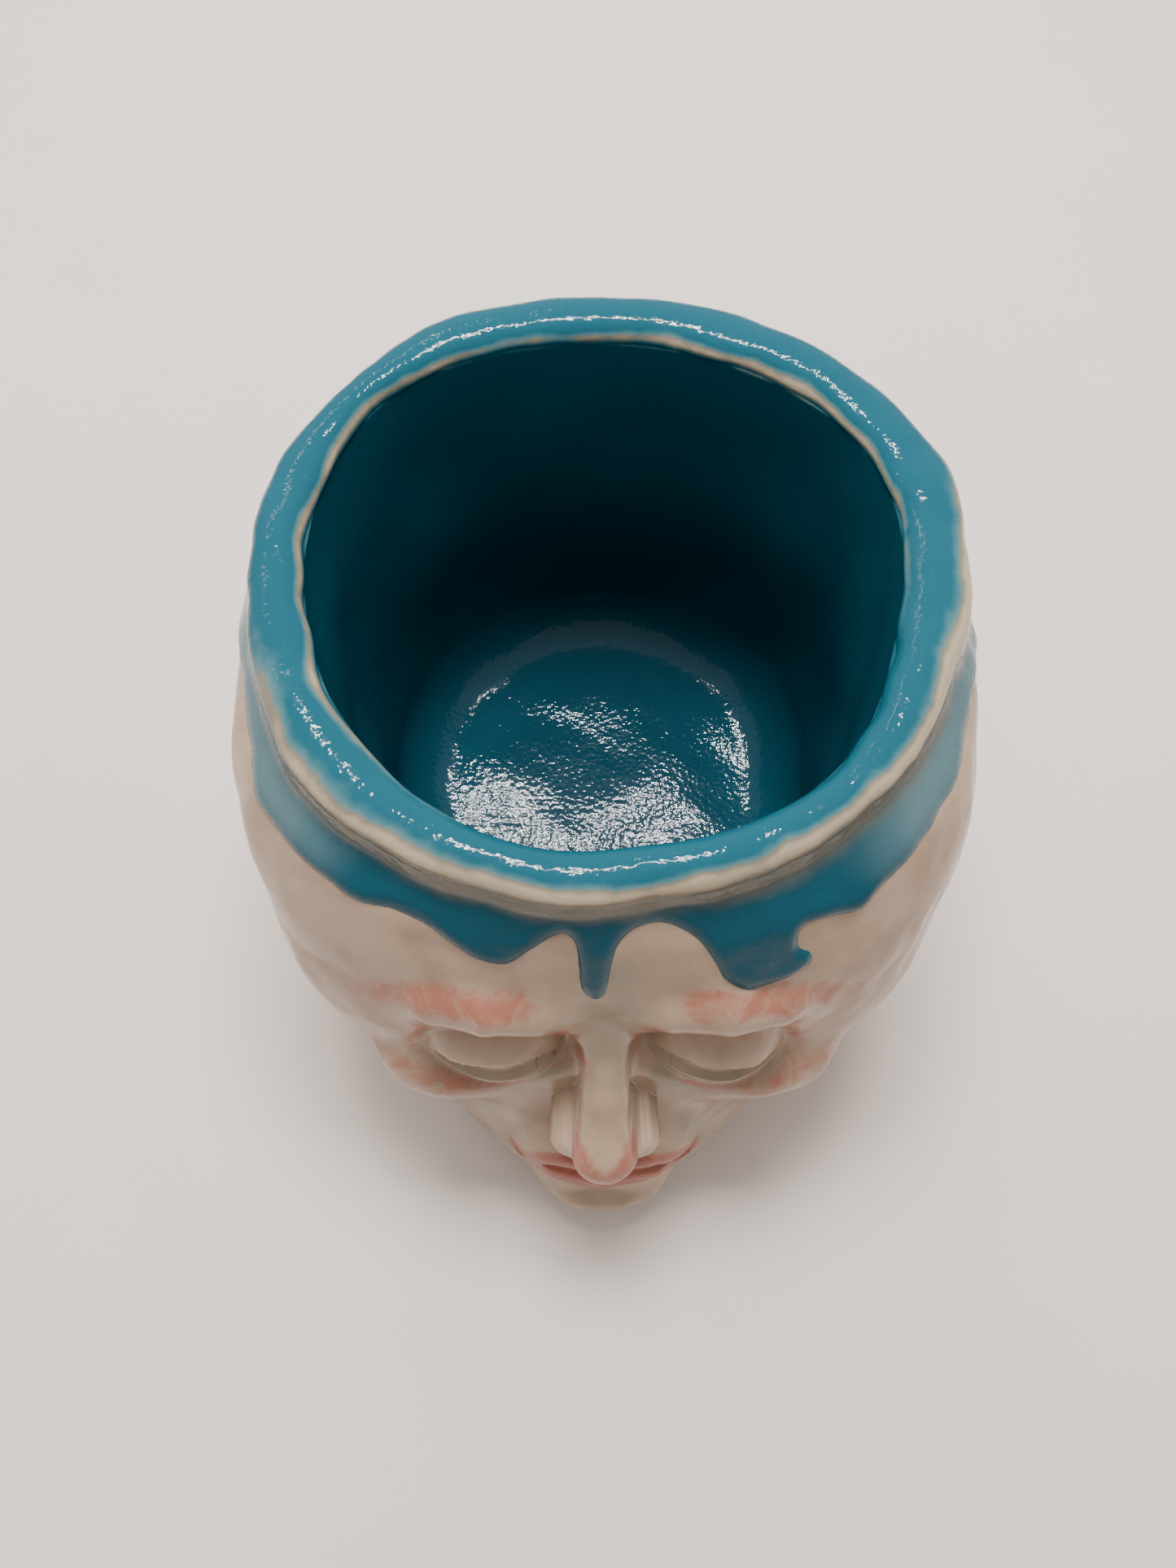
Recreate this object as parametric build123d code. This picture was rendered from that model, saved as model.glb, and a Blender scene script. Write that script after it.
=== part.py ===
"""A hand-built ceramic mug in the form of a head, as a potter puts it together.

A round cup (base slab, wall and a coil pressed into the inside corner) carries a face mask on its
front. Brows, nose, eyes, lips, cheeks and chin are added lumps of clay, luted on one by one. Two
coats of teal glaze finish it: a liner inside, and a coat that covers the rim and runs down the head
in drips. The fired mug is rigid: nothing on it moves.

Units are millimetres. Z is up, the origin is on the cup's axis at the underside of the base, and the
face looks towards -Y. Left and right are as seen by someone facing the mug: left is -X.
"""

from build123d import *
import math
import os

# ---- driving dimensions of the cup ----
HEIGHT = 76.0
GLAZE = 0.6
CLAY_HEIGHT = HEIGHT - GLAZE
SLAB_THICKNESS = 8.0
RIM_ROUNDING = 2.3
BASE_ROUNDING = 1.2
CORNER_COIL_RADIUS = 9.0
GLAZE_POOL = 1.0
LINER_TOP = CLAY_HEIGHT - 2 * RIM_ROUNDING

# Radius of the cup's outside and of its cavity at each height.
CUP_STATIONS = [(0, 39.5), (14, 41.2), (30, 43), (48, 45), (60, 45.8), (70, 45.2), (CLAY_HEIGHT, 44)]
CAVITY_STATIONS = [(SLAB_THICKNESS, 33.6), (26, 36), (44, 37.3), (62, 38), (CLAY_HEIGHT, 38.6)]
CAVITY_OVERSHOOT = 6.0

# The thumbed unevenness of the wall, full at the rim and gone at the base: waves round the axis as
# (count, size, direction in degrees).
SECTION_POINTS = 28
OUTER_WAVES = [(1, 0.6, 96), (2, 0.7, 24), (3, 0.5, 19), (4, 0.4, 43), (5, 0.3, 4)]
INNER_WAVES = [(1, 0.5, 115), (2, 0.3, -32), (3, 0.7, 25), (4, 0.6, 42)]

# Plan of the head at each height: (height, centre y, half width, half depth, squareness).
MASK_STATIONS = [
    (0, -18, 29, 42.5, 2.1),
    (7, -19, 32, 45, 2.2),
    (15, -18.5, 35, 44, 2.3),
    (24, -17.5, 38.5, 42.5, 2.5),
    (33, -16, 43, 41, 2.8),
    (42, -15, 46, 39.5, 3),
    (50, -12, 47.5, 39.7, 2.9),
    (57, -10.5, 48.3, 38.6, 2.7),
    (62, -9, 47.8, 37.6, 2.5),
    (66, -8, 46, 37, 2.3),
    (69, -6.5, 42, 35.5, 2.1),
    (72, -4, 36, 32, 2),
]

# ---- driving dimensions of the face ----
# The face leans back. Its own frame has its origin between the brows, with x across, y up the face
# and z straight out of it. The face is three equal thirds: hairline to brow, brow to nose, nose to
# chin.
FACE_LEAN = 20.0
FACE_THIRD = 25.0
BROW_HEIGHT = 50.0
BROW_REACH = 50.0
EYE_WIDTH = 14.5
EYE_Y = -FACE_THIRD / 3
EYEBALL_RADIUS = 8.0
EYEBALL_DEPTH = 6.0
LID_THICKNESS = 1.5
LID_OPENING = 4.8
NOSE_BASE_Y = -FACE_THIRD
NOSE_WIDTH = EYE_WIDTH
MOUTH_Y = NOSE_BASE_Y - FACE_THIRD / 3
CHIN_Y = -2 * FACE_THIRD + 6.5

# Round lumps and hollows in the face's frame, on the right side: (centre x, y, z), (radii x, y, z).
EYE_SOCKET = ((EYE_WIDTH, EYE_Y - 0.5, 2.5), (10.5, 6.8, 7.5))
NOSTRIL = ((3.2, NOSE_BASE_Y - 0.3, 5.2), (1.5, 2.6, 2.8))
NOSTRIL_WING = ((NOSE_WIDTH / 2 - 2.6, NOSE_BASE_Y + 3.4, 4.6), (3, 3.7, 5.2))
CHEEKBONE = ((22, -16.5, -5), (9.5, 6, 6.5))
CHEEKBONE_TURN = 14.0
CHIN = ((0, CHIN_Y, -1), (10, 6.5, 7))

# Rolled coils in the face's frame as (x, y, z, radius): the right brow from its inner end, and the
# right half of each lip from its corner, with y from the mouth's line.
BROW = [(3, -0.5, -1, 2.2), (8.5, 2.4, 0.6, 3.5), (15, 4, 0.8, 4), (21.5, 2.6, -1.6, 3.4), (27, -1.5, -6, 2)]
HALF_UPPER_LIP = [(12.5, -0.8, -0.6, 1), (6.5, 1.3, 1.8, 2.2)]
HALF_LOWER_LIP = [(11, -1.2, -0.4, 1), (6, -3, 1.8, 2.5)]
UPPER_LIP_MIDDLE = (0, 1.5, 2.6, 2.3)
LOWER_LIP_MIDDLE = (0, -3.6, 2.6, 2.9)

# The nose is a wedge that widens and stands out more towards its tip: (y, half width, reach).
NOSE = [
    (-1, 2.4, 2.2), (-7, 2.6, 4.2), (-13, 3.4, 7.2), (-18, 4.4, 10.6), (-21.5, 4.6, 12.4), (-25.5, 3, 10),
]
NOSE_DEPTH = 12.0

# Lower edge of the outside glaze, as (x, height) from the front and from the back. The space above
# the line is closed over the rim.
FRONT_DRIPS = [
    (-56, 68), (-47, 67), (-40, 68), (-33, 68), (-28, 67.5), (-23, 68.4), (-17.5, 66), (-12, 65),
    (-8, 68), (-4.4, 68.5), (-3.2, 64), (-1.9, 59.6), (-0.1, 59.6), (1.2, 64), (2.6, 68.5), (8, 69.4),
    (12.5, 66), (15, 61.5), (18.7, 59.2), (22.6, 59.2), (24.6, 62), (24.8, 66), (29.6, 66.4),
    (35, 68), (41, 68.5), (48, 67), (56, 68),
]
BACK_DRIPS = [
    (-56, 68), (-47, 64), (-38, 58), (-28, 61), (-19, 53), (-9, 60), (3, 50), (14, 59), (26, 54),
    (37, 61), (47, 63), (56, 68),
]
CURTAIN_TOP = HEIGHT + 10
CURTAIN_DEPTH = 90.0
BLOCK = 300.0

SIDES = ((-1, "left"), (1, "right"))
LEAN = math.radians(FACE_LEAN)
OUT_OF_FACE = (0, -math.cos(LEAN), math.sin(LEAN))
FACE_PLANE = Plane(origin=(0, -BROW_REACH, BROW_HEIGHT), x_dir=(1, 0, 0), z_dir=OUT_OF_FACE)


# ---- helpers ----
def section_angles():
    return [2 * math.pi * i / SECTION_POINTS for i in range(SECTION_POINTS)]


def waves(angle, table, height):
    """How far the wall stands out of round at an angle in radians."""
    return height / HEIGHT * sum(size * math.cos(n * (angle - math.radians(at))) for n, size, at in table)


def smooth_section(points):
    return make_face(Spline(*points, periodic=True))


def round_section(height, radius, table):
    points = []
    for angle in section_angles():
        reach = radius + waves(angle, table, height)
        points.append((reach * math.cos(angle), reach * math.sin(angle), height))
    return smooth_section(points)


def oval_section(height, centre, half_width, half_depth, squareness):
    points = []
    for angle in section_angles():
        across, along = math.cos(angle), math.sin(angle)
        x = half_width * math.copysign(abs(across) ** (2 / squareness), across)
        y = half_depth * math.copysign(abs(along) ** (2 / squareness), along)
        points.append((x, centre + y, height))
    return smooth_section(points)


def cup_outside(grow=0.0):
    """The cup as a full body. grow moves its side outwards and its top upwards."""
    stations = CUP_STATIONS[:-1] + [(CLAY_HEIGHT + grow, CUP_STATIONS[-1][1])]
    return loft([round_section(height, radius + grow, OUTER_WAVES) for height, radius in stations])


def cavity(shrink=0.0, floor=SLAB_THICKNESS):
    """The space inside the cup, running on past the rim. shrink moves its side inwards."""
    stations = [(floor, CAVITY_STATIONS[0][1])] + CAVITY_STATIONS[1:]
    stations.append((CLAY_HEIGHT + CAVITY_OVERSHOOT, CAVITY_STATIONS[-1][1]))
    return loft([round_section(height, radius - shrink, INNER_WAVES) for height, radius in stations])


def head_body(grow=0.0):
    """The front of the head as a full body. grow moves its side outwards."""
    return loft([oval_section(h, y, a + grow, b + grow, power) for h, y, a, b, power in MASK_STATIONS])


def round_edge_at(body, height, radius, count=1):
    """Round the longest edges that lie flat at a height."""
    edges = body.edges().filter_by_position(Axis.Z, height - 0.01, height + 0.01)
    return fillet(edges.sort_by(SortBy.LENGTH)[-count:], radius)


def below(height):
    return Pos(0, 0, height - BLOCK / 2) * Box(BLOCK, BLOCK, BLOCK)


def without(body, others):
    for other in others:
        body = body - other
    return body


def lump(side, shape, turn=0.0):
    """An ellipsoid in the face's frame. turn rolls it about the way out of the face."""
    (x, y, z), radii = shape
    return FACE_PLANE * Pos(side * x, y, z) * Rot(0, 0, side * turn) * scale(Sphere(1), by=radii)


def rolled_coil(stations):
    """A rolled string of clay through (x, y, z, radius) in the face's frame."""
    centres = [Vector(x, y, z) for x, y, z, radius in stations]
    sections = []
    for i, (centre, station) in enumerate(zip(centres, stations)):
        along = centres[min(i + 1, len(centres) - 1)] - centres[max(i - 1, 0)]
        across_coil = Plane(origin=centre, x_dir=(0, 0, 1), z_dir=along)
        sections.append(FACE_PLANE * (across_coil * Circle(station[3])))
    return loft(sections)


def lip(half, middle):
    """A lip mirrored about the middle of the face, with heights given from the mouth's line."""
    left = [(-x, y, z, r) for x, y, z, r in half]
    return rolled_coil([(x, MOUTH_Y + y, z, r) for x, y, z, r in left + [middle] + half[::-1]])


def curtain(drips, front):
    """The space above the drip line, on the front or the back half of the mug."""
    line = Spline(*drips)
    rest = Polyline(drips[-1], (drips[-1][0], CURTAIN_TOP), (drips[0][0], CURTAIN_TOP), drips[0])
    return extrude(Plane.XZ * make_face(line + rest), amount=CURTAIN_DEPTH if front else -CURTAIN_DEPTH)


# ---- the cup ----
def build_cup(parts):
    outside = cup_outside()
    hollow = cavity()
    wall = without(outside, [below(SLAB_THICKNESS), hollow])
    parts["cup_wall"] = round_edge_at(wall, CLAY_HEIGHT, RIM_ROUNDING, count=2)
    parts["base_slab"] = outside & below(SLAB_THICKNESS)
    parts["corner_coil"] = hollow - round_edge_at(hollow, SLAB_THICKNESS, CORNER_COIL_RADIUS)


# ---- the face ----
def eyeball(side):
    return FACE_PLANE * Pos(side * EYE_WIDTH, EYE_Y, -EYEBALL_DEPTH) * Sphere(EYEBALL_RADIUS)


def eyelid(side, up):
    """A shell of clay over the eyeball, cut off along the opening between the lids."""
    shell = Sphere(EYEBALL_RADIUS + LID_THICKNESS) - Sphere(EYEBALL_RADIUS)
    cover = Pos(0, up * (BLOCK + LID_OPENING) / 2, 0) * Box(BLOCK, BLOCK, BLOCK)
    return FACE_PLANE * Pos(side * EYE_WIDTH, EYE_Y, -EYEBALL_DEPTH) * (shell & cover)


def nose_body():
    sections = []
    for y, half_width, reach in NOSE:
        across_nose = Plane(origin=(0, y, reach - NOSE_DEPTH), x_dir=(1, 0, 0), z_dir=(0, -1, 0))
        sections.append(FACE_PLANE * (across_nose * Ellipse(half_width, NOSE_DEPTH)))
    return loft(sections)


def brow_ridge(side):
    return rolled_coil([(side * x, y, z, radius) for x, y, z, radius in BROW])


def build_face(parts):
    """The mask, then each lump of clay, cut to fit against the ones pressed on before it."""
    sides = [side for side, name in SIDES]
    core = without(head_body(), [lump(side, EYE_SOCKET) for side in sides])
    parts["face_mask"] = round_edge_at(core - cup_outside(), 0, BASE_ROUNDING)
    holes = [lump(side, NOSTRIL) for side in sides]
    nose = nose_body()
    parts["nose"] = without(nose, [core] + holes)
    for side, name in SIDES:
        ball = eyeball(side)
        brow = brow_ridge(side)
        upper_lid, lower_lid = eyelid(side, 1), eyelid(side, -1)
        cheek = lump(side, CHEEKBONE, CHEEKBONE_TURN)
        parts["nostril_wing_" + name] = without(lump(side, NOSTRIL_WING), [core, nose] + holes)
        parts["brow_ridge_" + name] = without(brow, [core, nose])
        parts["eyeball_" + name] = ball - core
        parts["upper_eyelid_" + name] = without(upper_lid, [core, nose, brow])
        parts["lower_eyelid_" + name] = without(lower_lid, [core, nose])
        parts["cheekbone_" + name] = without(cheek, [core, ball, upper_lid, lower_lid])
    upper_lip = lip(HALF_UPPER_LIP, UPPER_LIP_MIDDLE)
    lower_lip = lip(HALF_LOWER_LIP, LOWER_LIP_MIDDLE)
    parts["upper_lip"] = upper_lip - core
    parts["lower_lip"] = without(lower_lip, [core, upper_lip])
    parts["chin"] = without(lump(1, CHIN), [core, lower_lip])


# ---- the glaze ----
def build_glaze(parts):
    """The liner ends below the rim. The outside coat goes over the rim and down to the drips."""
    lined_hollow = round_edge_at(cavity(), SLAB_THICKNESS, CORNER_COIL_RADIUS)
    pool_top = SLAB_THICKNESS + GLAZE_POOL
    free_hollow = round_edge_at(cavity(GLAZE, pool_top), pool_top, CORNER_COIL_RADIUS - GLAZE)
    parts["liner_glaze"] = (lined_hollow - free_hollow) & below(LINER_TOP)

    roll = round_edge_at(cup_outside(GLAZE) - cavity(GLAZE), HEIGHT, RIM_ROUNDING + GLAZE, count=2)
    roll = roll - below(LINER_TOP)
    coat = without(cup_outside(GLAZE) + head_body(GLAZE), [cup_outside(), head_body(), cavity()])
    coat = coat & below(LINER_TOP)
    coat = (coat & curtain(FRONT_DRIPS, True)) + (coat & curtain(BACK_DRIPS, False))
    parts["rim_glaze"] = without(roll, [parts["cup_wall"], parts["face_mask"]]) + coat


def build():
    parts = {}
    build_cup(parts)
    build_face(parts)
    build_glaze(parts)
    return parts


if __name__ == "__main__":
    os.makedirs("parts", exist_ok=True)
    for node, shape in build().items():
        export_step(shape, f"parts/{node}.step")
        print(f"{node}: {shape.volume:.1f} mm3 in {len(shape.solids())} solid, valid {shape.is_valid}")
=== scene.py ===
"""The looks of a hand-built ceramic mug in the form of a head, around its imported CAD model.

The clay's outside is one continuous skin. It is worked out as a field of blended lumps and hollows,
found by marching in towards the cup's axis, and then cut into a closed piece for each part of the
mug. The teal glaze is a coat of its own over the rim and down to the drips, and a liner inside.

Lengths are millimetres while shapes are worked out, and metres in Blender. Z is up, the face looks
towards -Y, and left is -X.
"""

import math

import bpy
import numpy as np
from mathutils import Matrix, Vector


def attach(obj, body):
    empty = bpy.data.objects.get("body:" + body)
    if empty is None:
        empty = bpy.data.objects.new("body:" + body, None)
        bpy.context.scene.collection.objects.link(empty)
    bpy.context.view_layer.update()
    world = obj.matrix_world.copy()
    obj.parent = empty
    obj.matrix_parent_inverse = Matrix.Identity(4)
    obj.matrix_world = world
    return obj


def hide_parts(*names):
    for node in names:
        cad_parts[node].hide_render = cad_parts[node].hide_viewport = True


MM = 0.001

# ---- the cup, close to the CAD model, with more of the thumbed unevenness ----
HEIGHT = 76.0
RIM_HEIGHT = 75.4
BASE_ROUNDING = 1.2
SLAB_THICKNESS = 8.0
LINER_TOP = 70.8
CUP_STATIONS = [
    (0, 39.5), (14, 41.2), (30, 43.0), (48, 45.0), (60, 45.8), (70, 45.2), (RIM_HEIGHT, 44.1),
]
OUTER_WAVES = [
    (1, 1.6, 93), (2, 0.74, 24), (3, 0.53, 19), (4, 0.4, 43), (5, 0.27, 4), (7, 0.16, 10),
]
INNER_WAVES = [
    (1, 1.3, 103), (2, 0.3, -32), (3, 0.75, 25), (4, 0.65, 42), (5, 0.17, 24), (6, 0.24, 16),
]

# Dents that the potter's thumb left in the rim: (azimuth from the middle of the face, half width in
# degrees, depth). A negative depth is a bulge.
RIM_DENTS = [
    (-127, 15, 1.2), (-148, 13, -0.7), (148, 17, 0.8), (96, 6, 0.7), (110, 9, -0.5), (8, 7, 0.5),
]

# Plan of the head at each height: (height, centre y, half width, half depth, squareness).
HEAD_STATIONS = [
    (0, -18, 29, 42.5, 2.1),
    (7, -19, 32, 45, 2.2),
    (15, -18.5, 35, 44, 2.3),
    (24, -17.5, 38.5, 42.5, 2.5),
    (33, -16, 43, 41, 2.8),
    (42, -15, 46, 39.5, 3),
    (50, -12, 47.5, 39.7, 2.9),
    (57, -10.5, 48.3, 38.6, 2.7),
    (62, -9, 47.8, 37.6, 2.5),
    (66, -8, 46, 37, 2.3),
    (69, -6.5, 42, 35.5, 2.1),
    (72, -4, 36, 32, 2),
]

# ---- the face's own frame: x across, y up the face, z out of it ----
FACE_LEAN = math.radians(20.0)
FACE_THIRD = 25.0
FACE_ORIGIN = np.array([0.0, -50.0, 50.0])
FACE_UP = np.array([0.0, math.sin(FACE_LEAN), math.cos(FACE_LEAN)])
FACE_OUT = np.array([0.0, -math.cos(FACE_LEAN), math.sin(FACE_LEAN)])
EYE_X = 14.5
EYE_Y = -FACE_THIRD / 3
EYE_CENTRE = (EYE_X, EYE_Y, -5.4)
EYE_HALF_WIDTH = 9.0
NOSE_BASE_Y = -FACE_THIRD
MOUTH_Y = NOSE_BASE_Y - FACE_THIRD / 3
CHIN_Y = -2 * FACE_THIRD + 6.5

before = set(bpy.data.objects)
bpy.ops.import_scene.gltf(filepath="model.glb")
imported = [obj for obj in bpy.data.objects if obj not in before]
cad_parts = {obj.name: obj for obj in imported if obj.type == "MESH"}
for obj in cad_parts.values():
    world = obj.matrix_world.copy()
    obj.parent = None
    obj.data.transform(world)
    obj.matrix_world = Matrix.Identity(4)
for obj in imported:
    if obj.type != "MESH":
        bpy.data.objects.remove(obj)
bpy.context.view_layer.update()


# ---- small maths ----
def smoothstep(low, high, value):
    t = np.clip((value - low) / (high - low), 0.0, 1.0)
    return t * t * (3.0 - 2.0 * t)


def through(stations, value):
    """A smooth curve through (at, height) stations, flat beyond its ends."""
    at = np.array([station[0] for station in stations], float)
    height = np.array([station[1] for station in stations], float)
    slope = np.gradient(height, at)
    slope[0] = slope[-1] = 0.0
    value = np.clip(value, at[0], at[-1])
    i = np.clip(np.searchsorted(at, value) - 1, 0, len(at) - 2)
    gap = at[i + 1] - at[i]
    t = (value - at[i]) / gap
    start = (1 + 2 * t) * (1 - t) ** 2 * height[i] + t * (1 - t) ** 2 * gap * slope[i]
    end = t * t * (3 - 2 * t) * height[i + 1] + t * t * (t - 1) * gap * slope[i + 1]
    return start + end


def join(a, b, radius):
    """Union of two fields with a fillet of about the radius."""
    h = np.clip(0.5 + 0.5 * (b - a) / radius, 0.0, 1.0)
    return b + (a - b) * h - radius * h * (1.0 - h)


def cut(a, b, radius):
    """The first field without the second, with a rounded edge."""
    return -join(-a, b, radius)


def ripples(points, size, seed, count=7):
    """Smooth unevenness of about the given feature size, from -1 to 1, the same on every run."""
    rng = np.random.default_rng(seed)
    total = np.zeros(points.shape[0])
    for _ in range(count):
        way = rng.normal(size=3)
        way /= np.linalg.norm(way)
        pitch = 2 * math.pi / (size * rng.uniform(0.7, 1.5))
        bend = rng.normal(size=3)
        bend /= np.linalg.norm(bend)
        phase = rng.uniform(0, 2 * math.pi)
        sway = 0.9 * np.sin(points @ bend * pitch * 0.6 + phase)
        total += np.sin(points @ way * pitch + phase + sway)
    return total / count * 1.6


# ---- the clay as a field: negative inside, positive outside, in millimetres ----
def waves(angle, table):
    return sum(size * np.cos(n * (angle - math.radians(at))) for n, size, at in table)


def dents(angle):
    """How far the rim is pushed in at each angle."""
    azimuth = np.degrees(np.arctan2(np.cos(angle), -np.sin(angle)))
    return sum(depth * np.exp(-(((azimuth - at) / width) ** 2)) for at, width, depth in RIM_DENTS)


def cup_field(p):
    angle = np.arctan2(p[:, 1], p[:, 0])
    reach = through(CUP_STATIONS, p[:, 2]) + waves(angle, OUTER_WAVES) * p[:, 2] / HEIGHT
    reach -= dents(angle) * smoothstep(52, 72, p[:, 2])
    return np.hypot(p[:, 0], p[:, 1]) - reach


def head_field(p):
    z = p[:, 2]
    centre, half_width, half_depth, power = (
        through([(s[0], s[k]) for s in HEAD_STATIONS], z) for k in (1, 2, 3, 4)
    )
    x = np.abs(p[:, 0]) / half_width
    y = np.abs(p[:, 1] - centre) / half_depth
    level = (x**power + y**power + 1e-12) ** (1 / power)
    over_top = z - HEAD_STATIONS[-1][0]
    return np.maximum((level - 1) * np.minimum(half_width, half_depth), over_top)


def face_coordinates(p):
    rel = p - FACE_ORIGIN
    return np.stack([rel[:, 0], rel @ FACE_UP, rel @ FACE_OUT], axis=1)


def lump(f, centre, radii, turn=0.0):
    """An ellipsoid in the face's frame, rolled by turn degrees about the way out of the face."""
    q = f - np.array(centre)
    c, s = math.cos(math.radians(turn)), math.sin(math.radians(turn))
    x, y, z = c * q[:, 0] + s * q[:, 1], c * q[:, 1] - s * q[:, 0], q[:, 2]
    rx, ry, rz = radii
    level = np.sqrt((x / rx) ** 2 + (y / ry) ** 2 + (z / rz) ** 2) + 1e-9
    slope = np.sqrt((x / rx**2) ** 2 + (y / ry**2) ** 2 + (z / rz**2) ** 2) + 1e-9
    return level * (level - 1) / slope


def coil(f, stations, radius=1.5):
    """A rolled string of clay through (x, y, z, radius) stations in the face's frame."""
    field = np.full(f.shape[0], 1e3)
    for start, end in zip(stations[:-1], stations[1:]):
        a, b = np.array(start[:3]), np.array(end[:3])
        along = b - a
        t = np.clip((f - a) @ along / (along @ along), 0.0, 1.0)
        distance = np.linalg.norm(f - a - t[:, None] * along, axis=1)
        field = join(field, distance - (start[3] + (end[3] - start[3]) * t), radius * 0.3)
    return field


def mirrored(f):
    """The face's coordinates folded onto its right half, for what is the same on both sides."""
    folded = f.copy()
    folded[:, 0] = np.abs(f[:, 0])
    return folded


# Rolled strings of clay in the face's frame: (x, y, z, radius) along each one.
BROW = [
    (3.5, 0.2, -1.2, 2.4), (8.5, 2.4, 0.5, 3.5), (15, 3.6, 1.0, 3.9), (21, 2.5, -0.8, 3.5),
    (27, -1.4, -5, 2.4),
]
NOSE_BRIDGE = [(0, 0, -2.4, 2.6), (0, -6, -0.4, 2.6), (0, -13, 4.2, 3.1), (0, -19.5, 8.0, 3.9)]
UPPER_LIP = [(12.2, -0.6, -0.2, 0.7), (8.2, 0.4, 1.7, 1.5), (3.0, 1.5, 3.0, 2.0), (0, 1.0, 3.0, 1.8)]
LOWER_LIP = [(11.4, -1.4, 0.2, 0.7), (7.0, -2.9, 1.8, 1.9), (0, -3.6, 2.9, 2.5)]
SMILE_FOLD = [
    (8.6, -18.5, 2.6, 0.5), (11.5, -24, 2.4, 0.8), (14.2, -30, 0.8, 0.7), (15.2, -35, -0.6, 0.4),
]


def at_mouth(stations):
    return [(x, MOUTH_Y + y, z, r) for x, y, z, r in stations]


def clay_field(p):
    """The whole outside of the clay, and which part each place belongs to."""
    f = face_coordinates(p)
    g = mirrored(f)
    left = f[:, 0] < 0
    cup, head = cup_field(p), head_field(p)
    field = join(cup, head, 3.0)
    owner = np.where(cup < head, CUP, MASK)

    def add(shape, part, radius):
        nonlocal field, owner
        if part is not None:
            right_part, left_part = part if isinstance(part, tuple) else (part, part)
            owner = np.where(shape < field, np.where(left, left_part, right_part), owner)
        field = join(field, shape, radius)

    def carve(shape, radius):
        nonlocal field
        field = cut(field, shape, radius)

    # broad forms: forehead, muzzle, cheeks, jaw and chin
    add(lump(g, (0, 9, -8), (26, 9, 9)), None, 6.0)
    add(lump(g, (0, -33, -5), (15.5, 11, 9)), None, 5.0)
    add(lump(g, (21, -16.5, -5.0), (10.0, 5.8, 6.8), 14), (CHEEK_RIGHT, CHEEK_LEFT), 3.6)
    carve(lump(g, (20.5, -30, 4.6), (7.5, 8.5, 5.6), 0), 4.0)
    add(lump(g, (0, CHIN_Y, -1.2), (9.6, 6.2, 6.6)), CHIN, 4.0)
    carve(lump(g, (0, MOUTH_Y - 8.2, 6.6), (8, 2.4, 3.6)), 3.0)

    # eye hollows and brows
    carve(lump(g, (EYE_X - 0.5, EYE_Y + 0.4, 3.4), (11.8, 6.4, 8.2), -4), 2.4)
    add(coil(g, BROW), (BROW_RIGHT, BROW_LEFT), 2.6)

    # nose
    add(coil(g, NOSE_BRIDGE, 3.0), NOSE, 2.4)
    add(lump(g, (0, -20.6, 8.0), (4.4, 4.2, 4.6)), NOSE, 1.6)
    add(lump(g, (4.5, -22.0, 4.4), (2.8, 2.7, 3.6), -8), (WING_RIGHT, WING_LEFT), 1.6)
    carve(lump(g, (3.0, -25.4, 4.6), (1.45, 2.4, 2.8), 16), 0.8)

    # eyes: the ball, then a lid above and below with a crease behind each
    ball = lump(g, EYE_CENTRE, (8, 8, 8))
    add(ball, (EYE_RIGHT, EYE_LEFT), 0.6)
    over_lid = np.maximum(lump(g, EYE_CENTRE, (9.9, 9.5, 9.4)), lid_edge(g, 1.6, 1.0))
    under_lid = np.maximum(lump(g, EYE_CENTRE, (9.9, 9.2, 9.0)), -lid_edge(g, -2.2, -0.7))
    add(over_lid, (OVER_LID_RIGHT, OVER_LID_LEFT), 0.45)
    add(under_lid, (UNDER_LID_RIGHT, UNDER_LID_LEFT), 0.7)

    # mouth
    add(coil(g, at_mouth(UPPER_LIP)), UPPER, 1.1)
    add(coil(g, at_mouth(LOWER_LIP)), LOWER, 1.3)
    carve(coil(g, at_mouth([(12.6, -0.9, 0.6, 0.35), (6, -0.9, 4.0, 0.5), (0, -1.1, 5.2, 0.5)])), 0.7)
    carve(coil(g, [(0, NOSE_BASE_Y - 0.6, 5.4, 0.9), (0, MOUTH_Y + 2.6, 5.6, 1.0)]), 1.6)
    carve(coil(g, SMILE_FOLD), 2.2)
    pressed = 0.28 * ripples(p, 13, seed=41) + 0.11 * ripples(p, 5.5, seed=42, count=5)
    return field - pressed, owner


def lid_edge(g, height, arch):
    """How far below a lid's arched edge a place is: the edge dips to the corners of the eye."""
    across = (g[:, 0] - EYE_X) / EYE_HALF_WIDTH
    edge = EYE_Y + height * (1 - across**2) - 0.6 * arch * across
    return edge - g[:, 1]


PARTS = [
    "cup_wall", "face_mask", "nose", "nostril_wing_right", "nostril_wing_left", "brow_ridge_right",
    "brow_ridge_left", "eyeball_right", "eyeball_left", "upper_eyelid_right", "upper_eyelid_left",
    "lower_eyelid_right", "lower_eyelid_left", "cheekbone_right", "cheekbone_left", "upper_lip",
    "lower_lip", "chin", "base_slab",
]
CUP, MASK, NOSE, WING_RIGHT, WING_LEFT, BROW_RIGHT, BROW_LEFT = range(7)
EYE_RIGHT, EYE_LEFT, OVER_LID_RIGHT, OVER_LID_LEFT, UNDER_LID_RIGHT, UNDER_LID_LEFT = range(7, 13)
CHEEK_RIGHT, CHEEK_LEFT, UPPER, LOWER, CHIN, SLAB = range(13, 19)


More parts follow.
